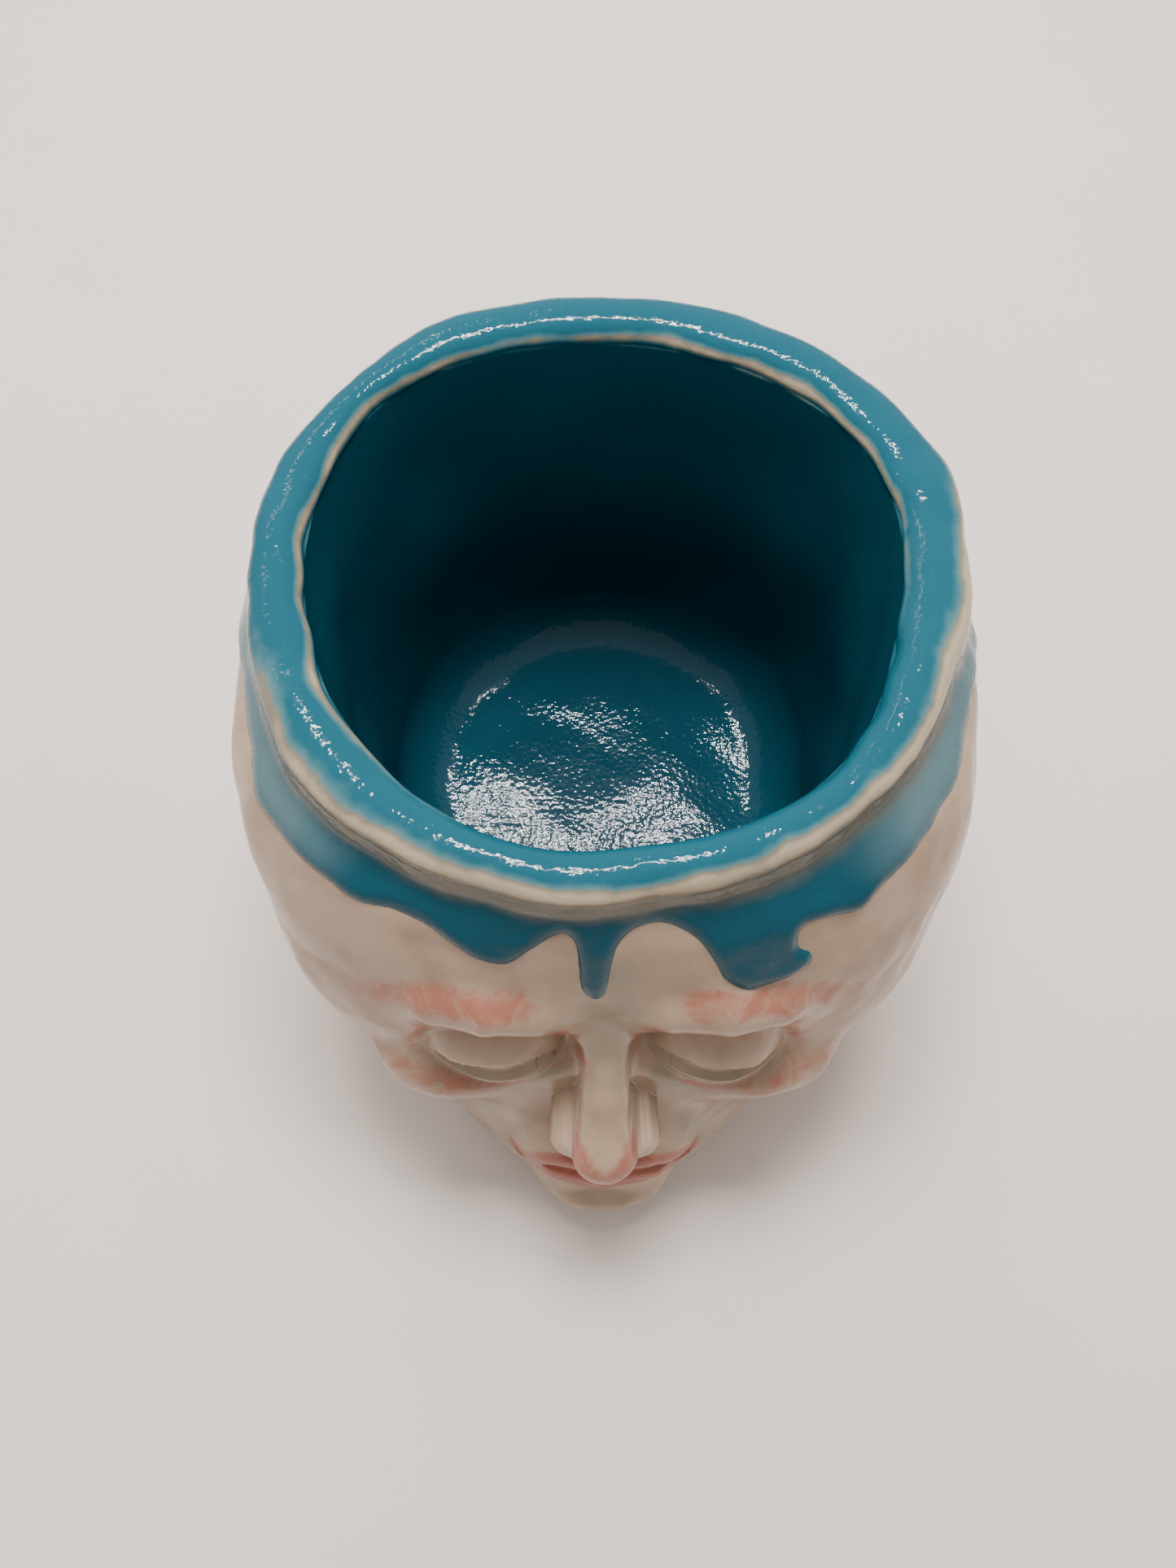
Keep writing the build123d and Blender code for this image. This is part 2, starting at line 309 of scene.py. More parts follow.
# ---- the skin: rows of rings round the mug, found by marching in towards the axis ----
FRONT = -math.pi / 2
FINE_STEP = math.radians(0.28)
COARSE_STEP = math.radians(1.1)
FINE_SPAN = math.radians(52)
ROW_STEP = 0.34
SKIN_TOP = 72.6
UNDERSIDE_RINGS = [0.04, 0.35, 0.62, 0.8, 0.92, 0.985]
ROUNDING_ROWS = 4
MARCH_FROM = 84.0
MARCH_STEPS = 70
CONVERGED = 2e-4


def columns():
    """Azimuths round the mug, and how many, from the first, lie close together over the face."""
    fine = np.arange(-FINE_SPAN, FINE_SPAN + FINE_STEP / 2, FINE_STEP)
    count = round((2 * math.pi - (fine[-1] - fine[0])) / COARSE_STEP)
    coarse = np.linspace(fine[-1], fine[0] + 2 * math.pi, count + 1)[1:-1]
    return FRONT + np.concatenate([fine, coarse]), len(fine)


def march(angles, heights):
    """Radius of the clay's outside at each azimuth and height, and the part found there."""
    way = np.stack([np.cos(angles), np.sin(angles)], axis=1)
    radius = np.full(angles.shape, MARCH_FROM)
    live = np.arange(len(angles))
    for _ in range(MARCH_STEPS):
        p = np.column_stack([way[live] * radius[live, None], heights[live]])
        field, _ = clay_field(p)
        radius[live] -= np.clip(field * 0.75, -1.0, 16.0)
        live = live[np.abs(field) > CONVERGED]
        if not len(live):
            break
    _, owner = clay_field(np.column_stack([way * radius[:, None], heights]))
    return radius, owner


def ring_faces(rows, angles, fine):
    """Quads between rows of rings. Behind the face every other row is left out, so the faces along
    the change-over have a fifth corner."""
    across = len(angles)
    faces = []
    for row in range(rows - 1):
        for column in range(fine - 1):
            a, b = row * across + column, (row + 1) * across + column
            faces.append((a, a + 1, b + 1, b))
    for row in range(0, rows - 2, 2):
        for column in range(fine - 1, across):
            beside = (column + 1) % across
            low, middle, high = row * across, (row + 1) * across, (row + 2) * across
            face = [low + column, low + beside, high + beside, high + column]
            if beside == 0:
                face.insert(2, middle + beside)
            if column == fine - 1:
                face.append(middle + column)
            faces.append(tuple(face))
    return faces


def but_caps(faces):
    """The faces without the flat caps, which have far more corners than the rest."""
    return [face for face in faces if len(face) < 6]


def vertex_normals(points, faces):
    """Smooth normals, weighted by the area of the faces round each point."""
    normals = np.zeros_like(points)
    for size in (3, 4, 5):
        group = np.array([face for face in faces if len(face) == size], int)
        if not len(group):
            continue
        one = points[group[:, 2]] - points[group[:, 0]]
        two = points[group[:, -1]] - points[group[:, 1]]
        across = np.cross(one, two)
        for corner in range(size):
            np.add.at(normals, group[:, corner], across)
    return normals / (np.linalg.norm(normals, axis=1, keepdims=True) + 1e-12)


def clay_skin():
    """Points, faces, normals and parts of the clay's whole outside, from the underside to the rim."""
    angles, fine = columns()
    heights = np.arange(BASE_ROUNDING, SKIN_TOP, ROW_STEP)
    below = len(UNDERSIDE_RINGS) + ROUNDING_ROWS
    if (below + len(heights)) % 2 == 0:
        heights = heights[:-1]
    grid_angle, grid_height = np.meshgrid(angles, heights)
    radius, owner = march(grid_angle.ravel(), grid_height.ravel())
    radius, owner = radius.reshape(grid_angle.shape), owner.reshape(grid_angle.shape)

    foot = radius[0] - BASE_ROUNDING
    rings = [(foot * k, 0.0) for k in UNDERSIDE_RINGS]
    for step in range(ROUNDING_ROWS):
        turn = math.pi / 2 * step / ROUNDING_ROWS
        rings.append((foot + BASE_ROUNDING * math.sin(turn), BASE_ROUNDING * (1 - math.cos(turn))))
    ring_radius = np.vstack([ring[0] for ring in rings] + [radius])
    ring_height = np.vstack([np.full(len(angles), ring[1]) for ring in rings] + [grid_height])
    below_owner = np.where(ring_radius[:below] < CUP_STATIONS[0][1] - 0.4, SLAB, MASK)
    owner = np.vstack([below_owner, owner])
    owner[below - ROUNDING_ROWS:below] = np.where(owner[below] == CUP, SLAB, owner[below])
    owner = np.where((owner == CUP) & (ring_height < SLAB_THICKNESS), SLAB, owner)

    plan = [ring_radius * np.cos(angles), ring_radius * np.sin(angles)]
    points = np.stack([*plan, ring_height], axis=2)
    for column in (0, fine - 1):
        points[1:-1:2, column] = (points[0:-2:2, column] + points[2::2, column]) / 2
    points = points.reshape(-1, 3)
    faces = ring_faces(len(ring_height), angles, fine)
    faces.append(tuple(range(len(angles)))[::-1])
    normals = vertex_normals(points, but_caps(faces))
    return points, faces, normals, owner.ravel(), len(angles)


# ---- meshes ----
BACK_LOWEST = 0.02


def closed_shell(points, faces, normals, thickness):
    """Give a patch a back and an edge, so that it is a closed piece."""
    used = np.unique(np.concatenate([np.array(face) for face in faces]))
    renumber = np.full(len(points), -1)
    renumber[used] = np.arange(len(used))
    faces = [tuple(renumber[list(face)]) for face in faces]
    front, facing = points[used], normals[used]
    back = front - facing * thickness
    back[:, 2] = np.maximum(back[:, 2], BACK_LOWEST)
    count = len(used)
    edges = dict.fromkeys((a, b) for face in faces for a, b in zip(face, face[1:] + face[:1]))
    rim = [(a, b) for a, b in edges if (b, a) not in edges]
    backs = [tuple(count + i for i in face[::-1]) for face in faces]
    sides = [(b, a, count + a, count + b) for a, b in rim]
    return np.vstack([front, back]), faces + backs + sides, np.vstack([facing, -facing]), used


def make_piece(name, points, faces, normals, material, attributes=None):
    """A smooth-shaded Blender mesh in metres, with its own normals and named values per point."""
    mesh = bpy.data.meshes.new(name)
    mesh.from_pydata((points * MM).tolist(), [], faces)
    mesh.polygons.foreach_set("use_smooth", [True] * len(mesh.polygons))
    for key, values in (attributes or {}).items():
        layer = mesh.attributes.new(key, "FLOAT", "POINT")
        layer.data.foreach_set("value", np.asarray(values, np.float32))
    mesh.update()
    mesh.normals_split_custom_set_from_vertices(normals.tolist())
    mesh.materials.append(material)
    piece = bpy.data.objects.new(name, mesh)
    bpy.context.scene.collection.objects.link(piece)
    return piece


# ---- the teal glaze ----
COAT = 0.5
COAT_BEAD = 0.16
COAT_EDGE = 0.55
COAT_FROM = 46.0
COAT_BACK = 0.45
RIM_CREST_ROWS = 40
RIM_SQUARENESS = 2.2
CREST_RISE = 2.7
LINER_STATIONS = [(8, 33.0), (26, 35.4), (44, 36.8), (62, 37.5), (76, 38.0)]
TURN_IN_HEIGHTS = (72.2, 71.6, LINER_TOP)

# Lower edge of the outside glaze over the face: (azimuth from the middle of the face in degrees,
# height). Round the back the edge is a level line with rounded drips: (azimuth, length, half width).
FRONT_LINE = [
    (-84, 64), (-76, 66.0), (-66, 66.3), (-58, 65), (-50, 65), (-42, 65), (-36.5, 64.6), (-31, 65.7),
    (-26, 65.5), (-21.5, 63.8), (-18, 62.6), (-14, 62.4), (-11, 65), (-8, 66.9), (-6, 67.3),
    (-4.6, 66), (-4.1, 63), (-3.7, 60), (-2.9, 58.2), (-1.6, 57.4), (-0.4, 58.3), (0.1, 60.3),
    (0.5, 63.2), (1.3, 65.8), (3.2, 67.4), (6, 68), (9.5, 67.6), (13, 65.6), (15, 62.6), (16.4, 59.6),
    (20.5, 57.8), (25, 57.9), (28, 59), (28.2, 60.6), (26.8, 62), (27.6, 64.2), (30.5, 64.6),
    (36, 63.2), (40, 64.4), (46, 65.2), (52, 65.9), (60, 66), (70, 66.2), (80, 64.8),
]
BACK_DRIPS = [
    (-101, 3.5, 8), (-127, 5.5, 7), (-156, 9.5, 7), (178, 12, 8.5), (147, 8, 7.5), (118, 6, 7),
]
BACK_LINE = 62.0
BACK_STEP = 3


def drip_line():
    """The whole lower edge, once round the mug from the back to the right of the face and on."""
    def back(azimuths):
        points = []
        for azimuth in azimuths:
            height = BACK_LINE + 0.8 * math.sin(math.radians(5 * azimuth))
            for at, length, width in BACK_DRIPS:
                away = (azimuth - at + 180) % 360 - 180
                height -= length * math.exp(-abs(away / width) ** 3)
            points.append((azimuth, height))
        return points

    return back(range(-180, -88, BACK_STEP)) + FRONT_LINE + back(range(87, 181, BACK_STEP))


# Length of a degree round the rim, and how finely the line is drawn between its points.
DEGREE = 0.8
LINE_STEPS = 6


def smooth_outline(corners, steps):
    """Points along a curve through the corners, in order."""
    c = np.array([corners[0]] + corners + [corners[-1]], float)
    out = []
    for a, b, d, e in zip(c[:-3], c[1:-2], c[2:-1], c[3:]):
        for t in np.linspace(0, 1, steps, endpoint=False):
            out.append(0.5 * (2 * b + (d - a) * t + (2 * a - 5 * b + 4 * d - e) * t**2
                              + (3 * b - a - 3 * d + e) * t**3))
    return np.array(out + [c[-1]])


def above_drips(points):
    """How far each place is above the drip line along the surface: negative below it."""
    azimuth = np.degrees(np.arctan2(points[:, 0], -points[:, 1]))
    line = smooth_outline(drip_line(), LINE_STEPS) * [DEGREE, 1]
    here = np.column_stack([azimuth * DEGREE, points[:, 2]])
    nearest = np.full(len(here), 1e6)
    inside = np.zeros(len(here), bool)
    for a, b in zip(line[:-1], line[1:]):
        along = b - a
        t = np.clip((here - a) @ along / (along @ along), 0, 1)
        nearest = np.minimum(nearest, np.linalg.norm(here - a - t[:, None] * along, axis=1))
        spans = (a[0] <= here[:, 0]) != (b[0] <= here[:, 0])
        run = along[0] if abs(along[0]) > 1e-9 else 1e-9
        crossing = a[1] + (here[:, 0] - a[0]) * along[1] / run
        inside ^= spans & (crossing < here[:, 1])
    return np.where(inside, nearest, -nearest)


def coat_thickness(above):
    """The coat rises steeply from the clay at its edge, with a thicker bead just inside the edge."""
    rise = COAT * (1 - np.exp(-np.maximum(above, 0) / COAT_EDGE))
    bead = COAT_BEAD * np.exp(-(((above - 1.3) / 0.9) ** 2)) * (above > 0)
    return np.where(above > 0, rise + bead * smoothstep(0, 0.8, above), 1.4 * above)


def ring_points(radius, angles, height):
    """Points round the cup's axis."""
    heights = np.broadcast_to(np.asarray(height, float), angles.shape)
    return np.column_stack([radius * np.cos(angles), radius * np.sin(angles), heights])


def inner_radius(angles, heights):
    """Radius of the cup's glazed inside."""
    at = ring_points(38.0, angles, heights)
    reach = through(LINER_STATIONS, heights)
    return reach + waves(angles, INNER_WAVES) * heights / HEIGHT + 0.35 * ripples(at, 26, seed=5)


def rim_coat(skin):
    """The outside coat: up the skin from the drips, over the rim and a little way down the inside."""
    points, faces, normals, _, across = skin
    above = above_drips(points)
    lifted = points + normals * coat_thickness(np.clip(above, -1.2, 30))[:, None]
    start = int(np.argmax(points[:, 2] > COAT_FROM)) // across * across
    kept = [face for face in but_caps(faces) if min(face) >= start]
    kept = [face for face in kept if max(above[i] for i in face) > -1.0]

    top = lifted[-across:]
    angle = np.arctan2(top[:, 1], top[:, 0])
    outer = np.hypot(top[:, 0], top[:, 1])
    base = top[:, 2]
    at = ring_points(40.0, angle, 0.0)
    inner = inner_radius(angle, base) + 0.3 * ripples(at, 11, seed=13)
    middle, half = (outer + inner) / 2, (outer - inner) / 2
    rise = CREST_RISE + 0.35 * ripples(at, 24, seed=11) + 0.15 * ripples(at, 9, seed=12)
    rows = [lifted]
    for step in range(1, RIM_CREST_ROWS + 1):
        turn = math.pi * step / RIM_CREST_ROWS
        c, s = math.cos(turn), math.sin(turn)
        r = middle + half * math.copysign(abs(c) ** (2 / RIM_SQUARENESS), c)
        z = base + rise * abs(s) ** (2 / RIM_SQUARENESS)
        rows.append(ring_points(r, angle, z))
    for z in TURN_IN_HEIGHTS:
        rows.append(ring_points(inner_radius(angle, np.full(len(angle), z)), angle, z))
    last = len(points) // across - 1
    for row in range(last, last + RIM_CREST_ROWS + len(TURN_IN_HEIGHTS)):
        for column in range(across):
            a, b = row * across + column, row * across + (column + 1) % across
            kept.append((a, b, b + across, a + across))
    points = np.vstack(rows)
    return points, kept, vertex_normals(points, kept)


LINER_WALL_ROWS = 70
LINER_CORNER_ROWS = 16
LINER_FLOOR_ROWS = 44
LINER_COLUMNS = 360
LINER_BACK = 0.5
FLOOR_TOP = 9.2
FLOOR_CORNER = 8.4
THUMB_MARKS = 0.6


def liner():
    """The inside coat, from just below the rim down the wall, round the corner and over the floor."""
    angles = np.linspace(0, 2 * math.pi, LINER_COLUMNS, endpoint=False) + FRONT
    corner_top = FLOOR_TOP + FLOOR_CORNER
    rings = []

    def add_ring(z, inset):
        height = np.full(len(angles), z)
        at = ring_points(37.0, angles, z)
        marks = THUMB_MARKS * smoothstep(LINER_TOP, 52, z) * ripples(at, 21, seed=23)
        rings.append((inner_radius(angles, height) + marks - inset, height))

    for z in np.linspace(LINER_TOP, corner_top, LINER_WALL_ROWS):
        add_ring(z, 0.0)
    for step in range(1, LINER_CORNER_ROWS + 1):
        turn = math.pi / 2 * step / LINER_CORNER_ROWS
        add_ring(corner_top - FLOOR_CORNER * math.sin(turn), FLOOR_CORNER * (1 - math.cos(turn)))
    floor_radius = rings[-1][0]
    for share in np.linspace(1, 0.02, LINER_FLOOR_ROWS + 1)[1:]:
        rings.append((floor_radius * share, np.full(len(angles), FLOOR_TOP)))
    points = np.vstack([ring_points(r, angles, z) for r, z in rings])
    low = smoothstep(corner_top, FLOOR_TOP + 1, points[:, 2])
    swell = 0.36 * ripples(points, 24, seed=21) + 0.06 * ripples(points, 8, seed=22)
    points[:, 2] += low * swell
    faces = []
    for row in range(len(rings) - 1):
        for column in range(LINER_COLUMNS):
            a, b = row * LINER_COLUMNS + column, row * LINER_COLUMNS + (column + 1) % LINER_COLUMNS
            faces.append((a, a + LINER_COLUMNS, b + LINER_COLUMNS, b))
    faces.append(tuple(range(len(points) - 1, len(points) - LINER_COLUMNS - 1, -1)))
    faces = [face[::-1] for face in faces]
    normals = vertex_normals(points, but_caps(faces))
    return points, faces, normals


# ---- materials ----
class Nodes:
    """A short way to write a material's node tree."""

    def __init__(self, name):
        self.material = bpy.data.materials.new(name)
        self.material.use_nodes = True
        self.tree = self.material.node_tree
        self.shader = self.tree.nodes["Principled BSDF"]
        self.place = self.tree.nodes.new("ShaderNodeTexCoord").outputs["Object"]

    def link(self, source, target):
        self.tree.links.new(source, target)

    def noise(self, size_mm, detail=3.0, rough=0.55, distortion=0.0):
        node = self.tree.nodes.new("ShaderNodeTexNoise")
        node.inputs["Scale"].default_value = 1000.0 / size_mm
        node.inputs["Detail"].default_value = detail
        node.inputs["Roughness"].default_value = rough
        node.inputs["Distortion"].default_value = distortion
        self.link(self.place, node.inputs["Vector"])
        return node.outputs["Fac"]

    def value(self, name):
        node = self.tree.nodes.new("ShaderNodeAttribute")
        node.attribute_name = name
        return node.outputs["Fac"]

    def math(self, operation, a, b):
        node = self.tree.nodes.new("ShaderNodeMath")
        node.operation = operation
        for socket, given in zip(node.inputs, (a, b)):
            if isinstance(given, (int, float)):
                socket.default_value = given
            else:
                self.link(given, socket)
        return node.outputs["Value"]

    def wobble(self, noise, size):
        """Noise as a swing of about the given size about zero."""
        return self.math("MULTIPLY", self.math("SUBTRACT", noise, 0.5), size)

    def between(self, value, low, high, to_low=0.0, to_high=1.0):
        node = self.tree.nodes.new("ShaderNodeMapRange")
        node.interpolation_type = "SMOOTHSTEP"
        keys = ("From Min", "From Max", "To Min", "To Max")
        for key, number in zip(keys, (low, high, to_low, to_high)):
            node.inputs[key].default_value = number
        self.link(value, node.inputs["Value"])
        return node.outputs["Result"]

    def mix(self, share, a, b):
        node = self.tree.nodes.new("ShaderNodeMix")
        node.data_type = "RGBA"
        self.link(share, node.inputs["Factor"])
        for socket, given in ((node.inputs["A"], a), (node.inputs["B"], b)):
            if isinstance(given, tuple):
                socket.default_value = (*given, 1.0)
            else:
                self.link(given, socket)
        return node.outputs["Result"]

    def bump(self, height, depth_mm, strength=1.0, below=None):
        node = self.tree.nodes.new("ShaderNodeBump")
        node.inputs["Distance"].default_value = depth_mm * MM
        node.inputs["Strength"].default_value = strength
        self.link(height, node.inputs["Height"])
        if below is not None:
            self.link(below, node.inputs["Normal"])
        return node.outputs["Normal"]

    def set(self, **values):
        for key, value in values.items():
            self.shader.inputs[key.replace("_", " ")].default_value = value


TEAL = (0.009, 0.086, 0.122)
# Darker teal: thick glaze in the drips, and painted shade deep inside the cup.
TEAL_DEEP_AND_SHADED = (0.006, 0.038, 0.058)
TEAL_THIN = (0.075, 0.175, 0.190)
# Pale blue-grey: a painted sheen of reflected light at the temples.
TEAL_SHEEN = (0.110, 0.175, 0.190)
BREAK_CREAM = (0.435, 0.350, 0.240)
BREAK_BROWN = (0.250, 0.165, 0.090)
# Dark tan: thin glaze below the rim, with painted shade for the recess there.
NECK_TAN_AND_SHADE = (0.165, 0.140, 0.100)
CLAY_CREAM = (0.425, 0.302, 0.213)
CLAY_CELADON = (0.245, 0.220, 0.152)
CLAY_BUFF = (0.340, 0.232, 0.157)
PINK = (0.360, 0.120, 0.080)
RED = (0.280, 0.060, 0.035)
BARE_CLAY = (0.520, 0.400, 0.275)
BARE_SHADE = (0.430, 0.320, 0.210)
GROG = (0.240, 0.160, 0.100)
PAPER = (0.760, 0.662, 0.602)
PAPER_PALE = (0.780, 0.682, 0.622)


def teal_glaze():
    """Thick teal glaze: deeper where it pools, darker inside the cup with painted shade, paler and
    then tan where it breaks over an edge, tan with painted shade below the rim, and with a painted
    sheen at the temples.
    """
    n = Nodes("teal_glaze")
    # Darker teal for thick glaze in the drips, and painted shade inside the cup.
    depth = n.math("ADD", n.value("depth_and_shade"), n.wobble(n.noise(16, 3), 0.35))
    colour = n.mix(n.between(depth, -0.1, 1.0), TEAL, TEAL_DEEP_AND_SHADED)
    thin = n.math("ADD", n.value("thin"), n.wobble(n.noise(7, 2), 0.7))
    thin = n.math("ADD", thin, n.wobble(n.noise(2.2, 2), 0.2))
    colour = n.mix(n.between(thin, 0.22, 0.58), colour, TEAL_THIN)
    # Painted sheen: a pale blue-grey band at the temples stands for reflected light.
    sheen = n.math("ADD", n.value("sheen"), n.wobble(n.noise(11, 2), 0.5))
    colour = n.mix(n.between(sheen, 0.1, 0.9, 0.0, 0.8), colour, TEAL_SHEEN)
    # Below the rim: the thin glaze's tan, deepened with painted shade in the recess there.
    thin_shaded_neck = n.math("ADD", n.value("thin_shaded_neck"), n.wobble(n.noise(6, 2), 0.5))
    colour = n.mix(n.between(thin_shaded_neck, 0.15, 0.80, 0.0, 0.92), colour, NECK_TAN_AND_SHADE)
    colour = n.mix(n.between(thin, 0.46, 0.66, 0.0, 0.7), colour, BREAK_BROWN)
    colour = n.mix(n.between(thin, 0.58, 0.90), colour, BREAK_CREAM)
    n.link(colour, n.shader.inputs["Base Color"])
    peel = n.bump(n.noise(2.6, 2, 0.5), 0.05, 0.5)
    pits = n.bump(n.noise(0.85, 1, 0.5), 0.07, 1.0, below=peel)
    n.link(pits, n.shader.inputs["Normal"])
    n.link(n.between(n.noise(5, 3), 0.3, 0.7, 0.05, 0.09), n.shader.inputs["Roughness"])
    n.set(IOR=1.52, Specular_IOR_Level=0.20)
    return n.material


def clear_glaze():
    """Clear celadon-tinged glaze over cream clay, with red underglaze rubbed in where 'blush' says
    and dry bare clay at the foot where 'bare' says."""
    n = Nodes("clear_glazed_clay")
    colour = n.mix(n.between(n.noise(9, 4), 0.36, 0.66), CLAY_CREAM, CLAY_BUFF)
    pooled = n.math("ADD", n.value("pool"), n.wobble(n.noise(6, 3), 0.8))
    colour = n.mix(n.between(pooled, 0.30, 0.95, 0.0, 0.85), colour, CLAY_CELADON)
    brushed = n.wobble(n.noise(3.4, 6, 0.7, 1.0), 1.7)
    blush = n.math("ADD", n.value("blush"), brushed)
    colour = n.mix(n.between(blush, 0.22, 0.90, 0.0, 0.9), colour, PINK)
    colour = n.mix(n.between(blush, 0.85, 1.5, 0.0, 0.9), colour, RED)
    speck = n.between(n.noise(0.8, 2, 0.7), 0.70, 0.76, 0.0, 0.4)
    colour = n.mix(speck, colour, BREAK_BROWN)
    foot = n.between(n.math("ADD", n.value("bare"), n.wobble(n.noise(2.0, 3), 0.35)), 0.40, 0.60)
    dry = n.mix(n.between(n.noise(5, 5), 0.3, 0.7), BARE_CLAY, BARE_SHADE)
    dry = n.mix(n.between(n.noise(0.9, 2, 0.7), 0.62, 0.70), dry, GROG)
    n.link(n.mix(foot, colour, dry), n.shader.inputs["Base Color"])
    tooled = n.bump(n.noise(2.4, 4, 0.6), 0.10, 0.5)
    peel = n.bump(n.noise(0.7, 2), 0.02, 0.4, below=tooled)
    n.link(peel, n.shader.inputs["Normal"])
    gloss = n.between(n.noise(4, 3), 0.3, 0.7, 0.13, 0.27)
    n.link(n.math("ADD", gloss, n.math("MULTIPLY", foot, 0.6)), n.shader.inputs["Roughness"])
    n.set(IOR=1.5, Specular_IOR_Level=0.4)
    return n.material


def floor_paper():
    """The pale sheet that the mug stands on."""
    n = Nodes("pale_floor")
    colour = n.mix(n.between(n.noise(60, 3), 0.3, 0.7), PAPER, PAPER_PALE)
    n.link(colour, n.shader.inputs["Base Color"])
    n.link(n.bump(n.noise(0.8, 3), 0.02, 0.3), n.shader.inputs["Normal"])
    n.set(Roughness=0.8, Specular_IOR_Level=0.2)
    return n.material


# ---- the pieces ----
def near(field, width):
    return np.exp(-((np.maximum(field, 0) / width) ** 2))


# Strokes of red underglaze in the face's frame: points (x, y, z, radius), then strength and width.
STROKES = [
    ([(6, -0.6, 2.8, 0.7), (14, 0.2, 3.8, 0.9), (24, -2.2, -1.0, 0.7)], 0.85, 1.1),
    ([(11, 6.2, 3.2, 0.8), (21, 5.6, 1.6, 1.0), (31, 1.0, -4.5, 0.8)], 0.74, 2.0),
    ([(4.4, -3, 1.2, 0.5), (5.2, -11, 3.6, 0.6), (7.4, -18.5, 4.4, 0.8), (7.8, -23, 3.4, 0.8)], 0.95,
     0.9),
    ([(12, -15.2, 1.2, 0.6), (21, -15.0, 1.8, 0.9), (31, -12.0, -4.0, 0.7)], 0.58, 1.9),
    ([(1.2, -21.0, 12.4, 1.0), (3.4, -18.0, 10.2, 0.7)], 0.92, 1.6),
    ([(9.0, -20, 3.0, 0.5), (13.4, -29, 1.2, 0.6)], 0.45, 1.1),
]


def blush_and_pool(points):
    """Where red underglaze is rubbed in, and where the clear glaze pools greenish."""
    g = mirrored(face_coordinates(points))
    over_eye = smoothstep(EYE_Y - 2.5, EYE_Y + 2.5, g[:, 1])
    round_eye = np.hypot((g[:, 0] - EYE_X) / 11.0, (g[:, 1] - EYE_Y - 0.4) / 7.0) - 1
    in_front = smoothstep(-16, -10, g[:, 2])
    blush = near(np.abs(round_eye) * 8, 1.3) * (0.30 + 0.42 * over_eye) * in_front
    for line, strength, width in STROKES:
        blush = np.maximum(blush, strength * near(coil(g, line), width))
    lips = np.minimum(coil(g, at_mouth(UPPER_LIP)), coil(g, at_mouth(LOWER_LIP)))
    blush = np.maximum(blush, 1.25 * near(lips - 0.35, 0.7))
    pool = 0.7 * near(lump(g, (EYE_X, EYE_Y - 5.5, 1.5), (8, 2.5, 4)), 2.4)
    pool = np.maximum(pool, 0.9 * near(coil(g, SMILE_FOLD), 1.8))
    pool = np.maximum(pool, 0.6 * near(lump(g, (21, -30, 2), (8, 9, 6)), 2.0))
    pool = np.maximum(pool, 0.6 * smoothstep(18, 4, points[:, 2]))
    pool = np.maximum(pool, 0.7 * near(coil(g, [(0, 10, 0, 1.5), (0, -8, 2, 1.0)]), 5.0))
    return blush, pool


FOOT_LINE = 2.7
FOOT_WAVER = 0.9


def bare_foot(points):
    """The foot that the potter wiped clean: 1 at the table, 0 above an uneven line."""
    line = FOOT_LINE + FOOT_WAVER * ripples(points * [1, 1, 0], 17, seed=31)
    return smoothstep(1.2, -1.2, points[:, 2] - line)


def turned(points, normals):
    """Azimuth from the middle of the face, and how far each normal tilts outwards, in degrees."""
    azimuth = np.degrees(np.arctan2(points[:, 0], -points[:, 1]))
    outward = normals[:, 0] * points[:, 0] + normals[:, 1] * points[:, 1]
    tilt = np.degrees(np.arctan2(outward / np.hypot(points[:, 0], points[:, 1]), normals[:, 2]))
    return azimuth, tilt


# How strongly the glaze breaks along the rim's two edges, by azimuth from the middle of the face.
OUTER_BREAK = [
    (-180, 0), (-105, 0.05), (-80, 0.35), (-55, 0.80), (-20, 0.92), (20, 0.92), (60, 0.95),
    (92, 0.86), (112, 0.4), (132, 0), (180, 0),
]
INNER_BREAK = [
    (-180, 0.60), (-140, 0.70), (-100, 0.70), (-60, 0.62), (-35, 0.4), (-12, 0.1), (40, 0.05),
    (80, 0.40), (100, 0.5), (125, 0.80), (155, 0.80), (180, 0.60),
]
# Strength of the tan below the rim, which includes painted shade.
TAN_AND_SHADE_NECK = 0.75
# Strength of the painted sheen at the temples.
SHEEN_STRENGTH = 0.85


def rim_thinning(points, normals):
    """Where the teal thins over the rim's two edges, turns tan with painted shade below the outer one,
    and takes a painted sheen at the temples.
    """
    azimuth, tilt = turned(points, normals)
    aside, height = np.abs(azimuth), points[:, 2]
    high = smoothstep(70.8, 73.0, height)
    sway = 9 * ripples(points * [1, 1, 0], 22, seed=51)
    outer_edge = np.exp(-(((tilt - 49 - sway) / 36) ** 2)) * high
    inner_edge = np.exp(-(((tilt + 62 + sway) / 24) ** 2)) * high
    outer_share, inner_share = through(OUTER_BREAK, azimuth), through(INNER_BREAK, azimuth)
    thin = np.maximum(outer_edge * outer_share, inner_edge * inner_share)
    # A pale band at the temples: painted sheen, a reflection of light laid into the glaze's colour.
    temple = smoothstep(30, 55, aside) * smoothstep(115, 90, aside) * (tilt > 0)
    sheen_band = temple * smoothstep(62, 67, height) * smoothstep(73.5, 70.5, height)
    # Below the outer edge: tan of the thin glaze, with painted shade for the recess between the rim
    # and the band.
    thin_shaded_neck = smoothstep(67.5, 71.3, height) * smoothstep(74.2, 72.8, height) * (tilt > 30)
    return thin, TAN_AND_SHADE_NECK * thin_shaded_neck * outer_share * smoothstep(95, 65, aside), SHEEN_STRENGTH * sheen_band


BIG_PARTS = ("cup_wall", "face_mask", "base_slab")
FACE_SHELL = 1.2
WALL_SHELL = 2.2
